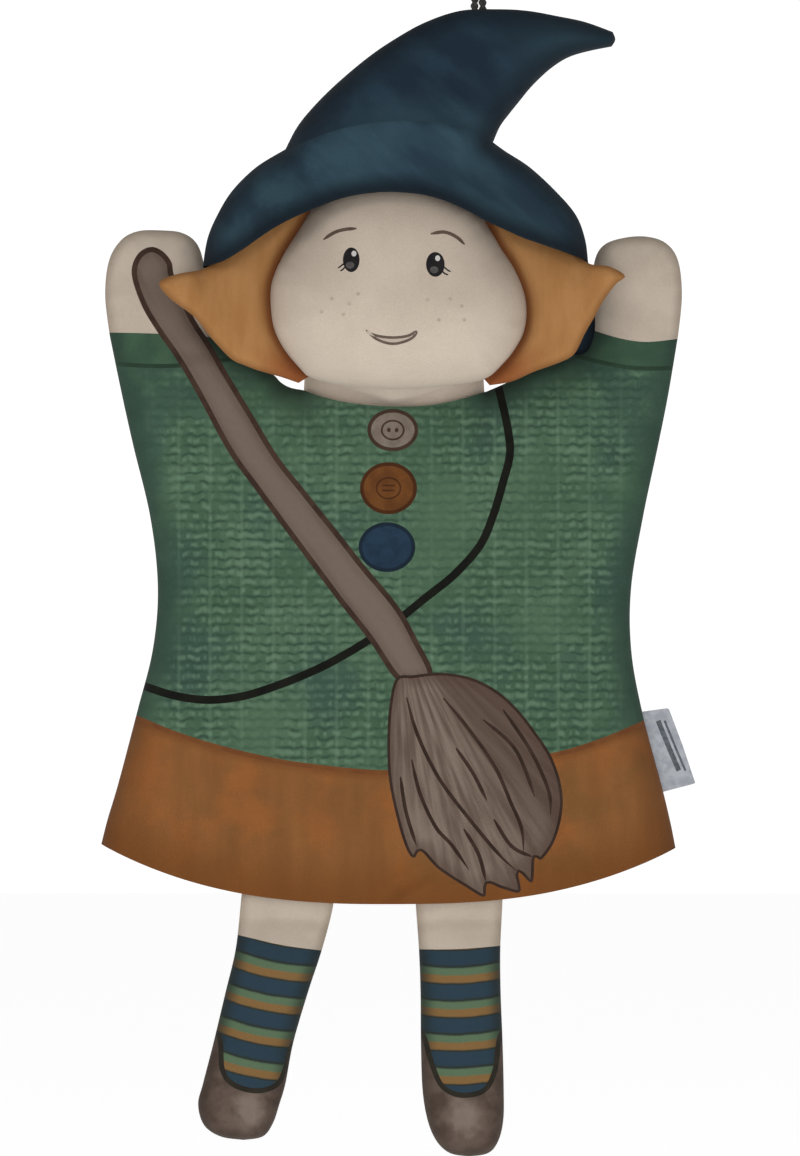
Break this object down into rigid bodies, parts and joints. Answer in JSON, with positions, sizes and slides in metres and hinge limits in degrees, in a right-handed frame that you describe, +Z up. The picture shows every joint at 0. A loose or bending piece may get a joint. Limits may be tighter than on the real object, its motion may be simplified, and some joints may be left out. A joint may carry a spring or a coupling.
{
  "type": "hand puppet",
  "caption": "Padded cloth glove puppet of a witch with a floppy pointed hat, loose hair flaps, raised arms, a flared tunic open at the hem and dangling stuffed legs.",
  "frame": {"origin": "centre of the hand opening, level with the lowest point of the hem", "axes": "+Z up from the hem to the hat, -Y towards the viewer of the face, +X towards the puppet's left hand"},
  "size_m": [0.1546, 0.0485, 0.3136],
  "materials": {
    "tunic_cloth": "printed woven cotton, matte",
    "lining_cloth": "plain woven cotton lining, matte",
    "skin_cloth": "plain woven cotton, matte",
    "hat_cloth": "printed woven cotton, matte",
    "hair_cloth": "printed woven cotton, matte",
    "leg_cloth": "printed striped cotton, matte",
    "stuffing": "polyester fibre filling",
    "loop_cord": "twisted cord, matte",
    "label_cloth": "satin woven tape"
  },
  "bodies": {
    "torso": {"tunic_front_panel": "tunic_cloth", "tunic_back_panel": "tunic_cloth", "lining_front": "lining_cloth", "lining_back": "lining_cloth"},
    "neck": {"neck_front_band": "skin_cloth", "neck_back_band": "skin_cloth"},
    "head": {"face_panel": "skin_cloth", "head_back_panel": "hair_cloth", "head_stuffing": "stuffing", "head_finger_pocket": "lining_cloth", "hat_front_panel": "hat_cloth", "hat_back_panel": "hat_cloth"},
    "crown": {"crown_front_panel": "hat_cloth", "crown_back_panel": "hat_cloth", "crown_stuffing": "stuffing"},
    "loop": {"hanging_loop": "loop_cord"},
    "right_hair": {"right_hair_front_ply": "hair_cloth", "right_hair_back_ply": "hair_cloth"},
    "left_hair": {"left_hair_front_ply": "hair_cloth", "left_hair_back_ply": "hair_cloth"},
    "right_arm": {"right_sleeve_front": "tunic_cloth", "right_sleeve_back": "tunic_cloth"},
    "right_hand": {"right_hand_front": "skin_cloth", "right_hand_back": "skin_cloth", "right_hand_wadding": "stuffing"},
    "left_arm": {"left_sleeve_front": "tunic_cloth", "left_sleeve_back": "tunic_cloth"},
    "left_hand": {"left_hand_front": "skin_cloth", "left_hand_back": "skin_cloth", "left_hand_wadding": "stuffing"},
    "right_leg": {"right_leg_front": "leg_cloth", "right_leg_back": "leg_cloth", "right_leg_stuffing": "stuffing"},
    "left_leg": {"left_leg_front": "leg_cloth", "left_leg_back": "leg_cloth", "left_leg_stuffing": "stuffing"},
    "label": {"side_label": "label_cloth"}
  },
  "joints": [
    {"name": "head_tilt", "type": "hinge", "parent": "torso", "child": "neck", "pos_m": [0.0005, -0.003, 0.1291], "axis": [0, 1, 0], "range_deg": [-12, 12]},
    {"name": "head_nod", "type": "hinge", "parent": "neck", "child": "head", "pos_m": [0.0005, -0.006, 0.134], "axis": [1, 0, 0], "range_deg": [-10, 35]},
    {"name": "hat_flop", "type": "hinge", "parent": "head", "child": "crown", "pos_m": [0, -0.014, 0.195], "axis": [1, 0, 0], "range_deg": [-22, 22], "stiffness_Nm_per_rad": 0.006},
    {"name": "loop_fold", "type": "hinge", "parent": "crown", "child": "loop", "pos_m": [0.0225, -0.014, 0.2328], "axis": [1, 0, 0], "range_deg": [-60, 60], "stiffness_Nm_per_rad": 0.0002},
    {"name": "right_hair_lift", "type": "hinge", "parent": "head", "child": "right_hair", "pos_m": [-0.034, -0.0145, 0.155], "axis": [0, 0, 1], "range_deg": [0, 50], "stiffness_Nm_per_rad": 0.001},
    {"name": "left_hair_lift", "type": "hinge", "parent": "head", "child": "left_hair", "pos_m": [0.036, -0.0145, 0.155], "axis": [0, 0, -1], "range_deg": [0, 50], "stiffness_Nm_per_rad": 0.001},
    {"name": "right_arm_wave", "type": "hinge", "parent": "torso", "child": "right_arm", "pos_m": [-0.05, 0, 0.12], "axis": [0, 1, 0], "range_deg": [-35, 6]},
    {"name": "left_arm_wave", "type": "hinge", "parent": "torso", "child": "left_arm", "pos_m": [0.052, 0, 0.12], "axis": [0, 1, 0], "range_deg": [-6, 35]},
    {"name": "right_hand_fold", "type": "hinge", "parent": "right_arm", "child": "right_hand", "pos_m": [-0.0605, 0, 0.1475], "axis": [1, 0, 0], "range_deg": [-30, 35]},
    {"name": "left_hand_fold", "type": "hinge", "parent": "left_arm", "child": "left_hand", "pos_m": [0.0635, 0, 0.1475], "axis": [1, 0, 0], "range_deg": [-30, 35]},
    {"name": "right_leg_swing", "type": "hinge", "parent": "torso", "child": "right_leg", "pos_m": [-0.0273, -0.009, -0.0025], "axis": [1, 0, 0], "range_deg": [-70, 50]},
    {"name": "left_leg_swing", "type": "hinge", "parent": "torso", "child": "left_leg", "pos_m": [0.0174, -0.009, -0.0025], "axis": [1, 0, 0], "range_deg": [-70, 50]},
    {"name": "label_flip", "type": "hinge", "parent": "torso", "child": "label", "pos_m": [0.0662, 0, 0.0497], "axis": [0.2663, 0, -0.9639], "range_deg": [-70, 70], "stiffness_Nm_per_rad": 0.0001}
  ]
}
